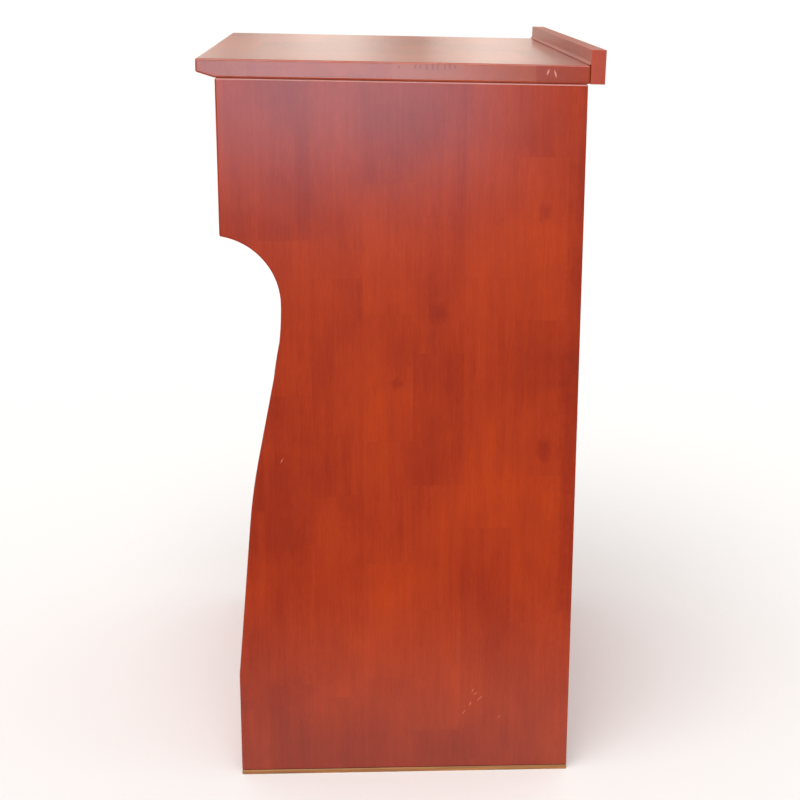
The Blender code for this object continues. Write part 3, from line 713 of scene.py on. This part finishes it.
def side_panel(side):
    low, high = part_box(f"side_panel_{side}")
    edge = neck_curve(0, FRONT_Y, 32) + lower_curve(0, 16)[1:]
    rear_top = HEAD_TOP - PANEL_DEPTH * math.tan(SLOPE)
    outline = [(edge[-1][0], low.z), (high.y, low.z), (high.y, rear_top), (low.y, HEAD_TOP), *edge]
    bm = pushed_outline(outline, low.x, high.x)
    return finished(f"side_panel_{side}", bm, SIDE_WOOD, 0.0025, 4, drill_pin_holes)


for side in ("left", "right"):
    panel = side_panel(side)
    print(panel.name, "faces:", len(panel.data.polygons))

# %% [markdown]
# ## The sloping top and its ledge
#
# The top is one thick board of staves that run across the lectern, so its side edge shows end
# grain. The underside of its front overhang is cut away in a long chamfer, which makes the heavy
# board look lighter from the audience's seats. The ledge is planted on its back edge. A real maker
# runs a small cove along the ledge's foot so that paper edges slide up instead of catching, which
# is why the ledge is made from an outline with an arc in it. Both are drawn level and then tipped
# with the slope.

# %% Top board and ledge
TOP_THICK, LEDGE_THICK, LEDGE_HEIGHT = 0.026, 0.0205, 0.0475
FRONT_OVERHANG, TOP_REACH = 0.0265, 0.5205
UNDERCUT, UNDERCUT_RISE = 0.0255, 0.0075
COVE_RADIUS = 0.005
GAP = 0.0003
HALF_WIDTH = panel_high.x
TIP = Matrix.Translation((0, FRONT_Y, HEAD_TOP)) @ Matrix.Rotation(-SLOPE, 4, "X")


def tipped(node, outline, material, radius, segments):
    """A piece across the whole top, drawn level from the front plane and tipped into place."""
    bm = pushed_outline(outline, -HALF_WIDTH, HALF_WIDTH)
    bm.transform(TIP)
    return finished(node, bm, material, radius, segments)


def rectangle(low_y, high_y, low_z, high_z):
    return [(low_y, low_z), (high_y, low_z), (high_y, high_z), (low_y, high_z)]


top_outline = [
    (UNDERCUT - FRONT_OVERHANG, GAP),
    (TOP_REACH, GAP),
    (TOP_REACH, GAP + TOP_THICK),
    (-FRONT_OVERHANG, GAP + TOP_THICK),
    (-FRONT_OVERHANG, GAP + UNDERCUT_RISE),
]
top = tipped("top_board", top_outline, TOP_WOOD, 0.0028, 5)
top.data.materials.append(EDGE_WOOD)
for face in top.data.polygons:
    face.material_index = int(abs(face.normal.x) > 0.5)

foot = TOP_REACH + GAP
rim = 2 * GAP + TOP_THICK
cove = arc((foot - COVE_RADIUS, rim + COVE_RADIUS), COVE_RADIUS, 0, 0.45 - math.pi / 2, 6)
ledge_outline = [
    (foot, GAP),
    (foot + LEDGE_THICK, GAP),
    (foot + LEDGE_THICK, LEDGE_HEIGHT),
    (foot, LEDGE_HEIGHT),
    *cove,
    (cove[-1][0], rim),
    (foot, rim),
]
ledge = tipped("paper_ledge", ledge_outline, LEDGE_WOOD, 0.0025, 4)
ledge.modifiers["rounded edges"].angle_limit = math.radians(80)
print("top and ledge faces:", len(top.data.polygons), len(ledge.data.polygons))

# %% [markdown]
# ## The audience's side
#
# Between the panels lie a fascia, a moulded neck, a long curved skin and a plinth, each set
# back 2 mm so that the panels' rounded edges stand proud of them. The curved ones follow the
# panels' arcs, moved in by that reveal, with enough steps to look bent and not folded.

# %% Front boards
REVEAL, SKIN_THICK, FASCIA_THICK = 0.002, 0.009, 0.018
INNER = HALF_WIDTH - (panel_high.x - panel_low.x)
ACROSS = (GAP - INNER, INNER - GAP)


def front_boards():
    fascia_front, fascia_rear = FRONT_Y + REVEAL, FRONT_Y + REVEAL + FASCIA_THICK
    tops = [(y, HEAD_TOP - (y - FRONT_Y) * math.tan(SLOPE) - GAP) for y in (fascia_rear, fascia_front)]
    fascia = tops + neck_curve(REVEAL, fascia_front, 8, fascia_rear)
    finished("front_fascia", pushed_outline(fascia, *ACROSS), FRONT_WOOD, 0.0012)
    start = fascia_rear + GAP
    neck = neck_curve(REVEAL, start, 24) + neck_curve(REVEAL + SKIN_THICK, start, 24)[::-1]
    finished("neck_panel", pushed_outline(neck, *ACROSS), FRONT_WOOD, 0.0006)
    skin = lower_curve(REVEAL, 14) + lower_curve(REVEAL + SKIN_THICK, 14)[::-1]
    finished("front_lower_panel", pushed_outline(skin, *ACROSS), FRONT_WOOD, 0.0006)


front_boards()
print("space between the panels in mm:", round(2000 * INNER))

# %% [markdown]
# ## Plain boards
#
# Everything square inside the case is a board too. Its place and size come straight from the
# frame, as a box between two corners, and only the rounding and the finish are new. The grain
# runs along each board's length.

# %% Square boards
def square_board(node, material, radius=0.0012, segments=3):
    low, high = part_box(node)
    bm = pushed_outline(rectangle(low.y, high.y, low.z, high.z), low.x, high.x)
    return finished(node, bm, material, radius, segments)


def bare_wood(name, axes, colours):
    """Unstained wood with soft streaks along its grain, a few millimetres apart."""
    material, tree, shader = new_material(name)
    parts = board_axes(tree, *axes)
    place = add(tree, "ShaderNodeCombineXYZ", {0: parts[0], 1: parts[1], 2: parts[2]})
    scaled = add(
        tree, "ShaderNodeVectorMath", {0: place, 1: (1 / 0.003, 1 / 0.080, 1 / 0.003)},
        operation="MULTIPLY",
    )
    streaks = add(tree, "ShaderNodeTexNoise", {"Vector": scaled, "Scale": 0.6, "Detail": 3.0})
    ramp = add(tree, "ShaderNodeValToRGB", {0: streaks})
    for stop, colour, position in zip(ramp.color_ramp.elements, colours, (0.25, 0.8)):
        stop.color, stop.position = linear(colour), position
    tree.links.new(ramp.outputs[0], shader.inputs["Base Color"])
    shader.inputs["Roughness"].default_value = 0.6
    return material


PALE_PLY = bare_wood("pale_birch_ply", (Z, Y, X), ("#a9824f", "#d8b884"))
CROSS_PLY = bare_wood("pale_birch_ply_back", (Z, X, Y), ("#a9824f", "#d8b884"))
BARE_WOOD = bare_wood("oiled_strip_wood", (Z, Y, X), ("#7a4612", "#c0813a"))
BLOCK_WOOD = bare_wood("unstained_block_wood", (Y, Z, X), ("#a9804c", "#d0ab74"))
INNER_WOOD = stained_wood("dyed_batten_wood", (Z, X, Y), 0.01, coat=0.12)
CLEAT_WOOD = stained_wood("dyed_cleat_wood", (Z, Y, X), 0.01, coat=0.12)
SHELF_WOOD = stained_wood("lacquered_staves_shelf", (Y, X, Z), 0.04)

for node in ("paper_bay_floor", "drawer_divider", "cupboard_floor", "cupboard_shelf"):
    square_board(node, SHELF_WOOD)
for node in ("plinth_board", "rear_kick_board", "top_rail_rear"):
    square_board(node, FRONT_WOOD)
for node in ("waist_batten", "top_rail_front"):
    square_board(node, INNER_WOOD)
for side in ("left", "right"):
    square_board(f"base_strip_{side}", BARE_WOOD, 0.0008, 2)
square_board("drawer_floor", PALE_PLY, 0.0008)
square_board("drawer_back", CROSS_PLY, 0.0008)

# %% [markdown]
# ## Doors and the drawer's front
#
# The doors meet at one round finger hole, and the drawer has a shallow scoop in its top edge.
# Each outline is drawn in the board's own face with an arc for the hole, so that the same bevel
# that rounds the board's edges runs round the hole too.

# %% Doors and drawer front
def faced_board(node, outline, material, radius=0.0016, segments=4):
    """An (x, z) outline pushed through the depth of a frame node."""
    low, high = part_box(node)
    bm = bmesh.new()
    face = bm.faces.new([bm.verts.new((x, low.y, z)) for x, z in outline])
    pushed = bmesh.ops.extrude_face_region(bm, geom=[face])["geom"]
    moved = [part for part in pushed if isinstance(part, bmesh.types.BMVert)]
    bmesh.ops.translate(bm, vec=(0, high.y - low.y, 0), verts=moved)
    bmesh.ops.recalc_face_normals(bm, faces=bm.faces)
    piece = finished(node, bm, material, radius, segments)
    piece.modifiers["rounded edges"].angle_limit = math.radians(40)
    return piece


FINGER_HOLE = (0.0, 0.640)
FINGER_HOLE_RADIUS = 0.016
SCOOP_RADIUS, SCOOP_DEPTH = 0.045, 0.022


def door(side, sign):
    low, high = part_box(f"door_{side}")
    meeting, hung = (low.x, high.x) if sign > 0 else (high.x, low.x)
    half = math.acos(abs(meeting) / FINGER_HOLE_RADIUS)
    hole = [
        (sign * x, z) for x, z in arc((0, FINGER_HOLE[1]), FINGER_HOLE_RADIUS, -half, half, 24)
    ]
    outline = [(meeting, low.z), *hole, (meeting, high.z), (hung, high.z), (hung, low.z)]
    return faced_board(f"door_{side}", outline, DOOR_WOOD)


def drawer_front():
    low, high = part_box("drawer_front")
    centre_z = high.z + SCOOP_RADIUS - SCOOP_DEPTH
    half = math.acos((centre_z - high.z) / SCOOP_RADIUS)
    scoop = arc((0, centre_z), SCOOP_RADIUS, -math.pi / 2 + half, -math.pi / 2 - half, 28)
    outline = [(low.x, low.z), (high.x, low.z), (high.x, high.z), *scoop, (low.x, high.z)]
    return faced_board("drawer_front", outline, FRONT_WOOD)


for side, sign in (("left", 1), ("right", -1)):
    print(door(side, sign).name)
print(drawer_front().name)

# %% [markdown]
# ## Metal, plastic and the pieces that keep their frame shape
#
# Hinges, runners, pins, cleats, corner blocks and the grooved drawer sides already have their
# right shape in the frame, so each only gets a finish. Plated metal isn't one even colour: its
# roughness wanders a little, and a faint mottle shows in the zinc. Moulded plastic has a fine
# spark-eroded texture.

# %% Hardware finishes
def hardware_finish(name, colours, mottle, rough, metallic, relief):
    """A colour that wanders between two, with a mottle of one size and a fine relief."""
    material, tree, shader = new_material(name)
    place = add(tree, "ShaderNodeTexCoord").outputs["Object"]
    noise = add(tree, "ShaderNodeTexNoise", {"Vector": place, "Scale": 1 / mottle, "Detail": 3.0})
    ramp = add(tree, "ShaderNodeValToRGB", {0: noise})
    for stop, colour, share in zip(ramp.color_ramp.elements, colours, (0.3, 0.7)):
        stop.color, stop.position = linear(colour), share
    spread = {"Value": noise, "To Min": rough - 0.08, "To Max": rough + 0.08}
    roughness = add(tree, "ShaderNodeMapRange", spread)
    fine = add(tree, "ShaderNodeTexNoise", {"Vector": place, "Scale": 4 / mottle, "Detail": 2.0})
    bump = add(tree, "ShaderNodeBump", {"Height": fine, "Strength": 0.3, "Distance": relief})
    tree.links.new(ramp.outputs[0], shader.inputs["Base Color"])
    tree.links.new(roughness.outputs[0], shader.inputs["Roughness"])
    tree.links.new(bump.outputs[0], shader.inputs["Normal"])
    shader.inputs["Metallic"].default_value = metallic
    return material


BRASS = hardware_finish("brass_plated_steel", ("#b98a3c", "#dcb264"), 0.006, 0.30, 1.0, 0.00005)
ZINC = hardware_finish("zinc_plated_steel", ("#b2b6b9", "#c2c6c9"), 0.012, 0.36, 1.0, 0.00005)
PLASTIC = hardware_finish("moulded_black_plastic", ("#141416", "#202023"), 0.002, 0.50, 0.0, 0.0001)
KEPT = (
    ("hinge_", BRASS),
    ("runner_", ZINC),
    ("shelf_pin_", ZINC),
    ("cleat_screw_", ZINC),
    ("strike_plate_", ZINC),
    ("magnet_catch_", PLASTIC),
    ("top_cleat_", CLEAT_WOOD),
    ("corner_block_", BLOCK_WOOD),
    ("drawer_side_", PALE_PLY),
)
for start, material in KEPT:
    kept = [node for node in NODES if node.startswith(start)]
    for node in kept:
        NODES[node].material_slots[0].material = material
    print(material.name, "on", len(kept), "pieces")

# %% [markdown]
# ## Screws
#
# Every hinge leaf, catch and strike plate is held by small screws with a crossed recess. One
# tree makes them all: its input is a mesh with one point per screw and the direction it faces as
# an attribute, and it sets a turned head on each point. Two sizes are enough: thin heads that lie
# almost flush in the hinges and strike plates, and domed ones under the catches.

# %% The screw tree
def screw_tree():
    tree, given = new_tree("crossed screws", ("Head Radius", "Head Height", "Recess Width"))
    half = add(tree, "ShaderNodeMath", {0: given["Head Height"], 1: 0.5}, operation="MULTIPLY")
    rim_size = {
        "Vertices": 20, "Radius Top": given["Head Radius"], "Radius Bottom": given["Head Radius"],
        "Depth": half,
    }
    crown_radius = add(tree, "ShaderNodeMath", {0: given["Head Radius"], 1: 0.72}, operation="MULTIPLY")
    crown_size = {
        "Vertices": 20, "Radius Top": crown_radius, "Radius Bottom": given["Head Radius"],
        "Depth": half,
    }
    raised = add(tree, "ShaderNodeCombineXYZ", {2: half})
    rim = add(tree, "GeometryNodeMeshCone", rim_size)
    crown = add(tree, "GeometryNodeMeshCone", crown_size)
    crown = add(tree, "GeometryNodeTransform", {"Geometry": crown, "Translation": raised})
    head = add(tree, "GeometryNodeMeshBoolean", {1: rim}, operation="UNION", solver="EXACT")
    tree.links.new(crown.outputs[0], head.inputs[1])
    arm = add(tree, "ShaderNodeMath", {0: given["Head Radius"], 1: 1.15}, operation="MULTIPLY")
    deep = add(tree, "ShaderNodeMath", {0: given["Head Height"], 1: 1.2}, operation="MULTIPLY")
    arm_size = add(tree, "ShaderNodeCombineXYZ", {0: arm, 1: given["Recess Width"], 2: deep})
    bar = add(tree, "GeometryNodeMeshCube", {"Size": arm_size})
    top = add(tree, "ShaderNodeCombineXYZ", {2: given["Head Height"]})
    bar = add(tree, "GeometryNodeTransform", {"Geometry": bar, "Translation": top})
    turn = {"Geometry": bar, "Rotation": (0.0, 0.0, math.pi / 2)}
    crossbar = add(tree, "GeometryNodeTransform", turn)
    cut = add(tree, "GeometryNodeMeshBoolean", {0: head, 1: bar}, operation="DIFFERENCE", solver="EXACT")
    tree.links.new(crossbar.outputs[0], cut.inputs[1])
    facing = add(tree, "GeometryNodeInputNamedAttribute", {"Name": "facing"}, data_type="FLOAT_VECTOR")
    aim = add(tree, "FunctionNodeAlignRotationToVector", {"Vector": facing}, axis="Z")
    spread = {"Points": given["Geometry"], "Instance": cut, "Rotation": aim}
    placed = add(tree, "GeometryNodeInstanceOnPoints", spread)
    end_tree(tree, placed, given["Material"])
    return tree


SCREWS = screw_tree()
# A shut hinge's leaves lie 0.2 mm apart and both carry screws, so a thin head is under half that.
THIN = {"Head Radius": 0.0026, "Head Height": 0.00009, "Recess Width": 0.0008}
DOMED = {"Head Radius": 0.0030, "Head Height": 0.0014, "Recess Width": 0.0009}


def screws(name, body, material, size, places):
    """One mesh of screws for a body. Places are pairs: where the head sits, and where it faces."""
    mesh = bpy.data.meshes.new(name)
    mesh.from_pydata([place for place, _ in places], [], [])
    facing = mesh.attributes.new("facing", "FLOAT_VECTOR", "POINT")
    facing.data.foreach_set("vector", [value for _, way in places for value in way])
    piece = bpy.data.objects.new(name, mesh)
    bpy.context.scene.collection.objects.link(piece)
    use_tree(piece, SCREWS, {**size, "Material": material})
    settle(piece)
    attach(piece, body)
    print(name, len(places), "screws,", len(piece.data.polygons), "faces")


# %% [markdown]
# ## Where the screws go
#
# A butt hinge has three screws in each leaf, staggered so that the wood doesn't split along one
# line. A catch or strike plate has two.

# %% Set the screws
HINGE_STAGGER = ((-0.016, -0.008), (0.0, -0.0135), (0.016, -0.008))  # (up, in from the barrel)
HINGE_LEVELS = (0.160, 0.660)
pin_low, pin_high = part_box("hinge_left_lower_pin")
HINGE_AXIS_Y = (pin_low.y + pin_high.y) / 2
FRAME_LEAF_FACE, DOOR_LEAF_FACE = 0.3166, 0.3164  # out from the middle of the lectern
CATCH_SPREAD, STRIKE_SPREAD = 0.017, 0.009


def leaf_screws(x, facing):
    return [
        ((x, HINGE_AXIS_Y + inward, level + up), (facing, 0, 0))
        for level in HINGE_LEVELS
        for up, inward in HINGE_STAGGER
    ]


def catch_places(side):
    """Under the catch, one screw at each end."""
    low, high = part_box(f"magnet_catch_{side}")
    middle = (low + high) / 2
    return [
        ((middle.x + step, middle.y, low.z), (0, 0, -1)) for step in (-CATCH_SPREAD, CATCH_SPREAD)
    ]


def strike_places(side):
    """On the strike plate's inner face, one screw on each side of its middle."""
    low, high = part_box(f"strike_plate_{side}")
    middle = (low + high) / 2
    return [
        ((middle.x + step, low.y, middle.z), (0, -1, 0)) for step in (-STRIKE_SPREAD, STRIKE_SPREAD)
    ]


frame_leaf, catches = [], []
for side, sign in (("left", 1), ("right", -1)):
    frame_leaf += leaf_screws(sign * FRAME_LEAF_FACE, -sign)
    catches += catch_places(side)
    body = f"door_{side}"
    door_leaf = leaf_screws(sign * DOOR_LEAF_FACE, sign)
    screws(f"hinge_screws_{side}", body, BRASS, THIN, door_leaf)
    screws(f"strike_screws_{side}", body, ZINC, THIN, strike_places(side))
screws("frame_hinge_screws", "carcass", BRASS, THIN, frame_leaf)
screws("catch_screws", "carcass", ZINC, DOMED, catches)
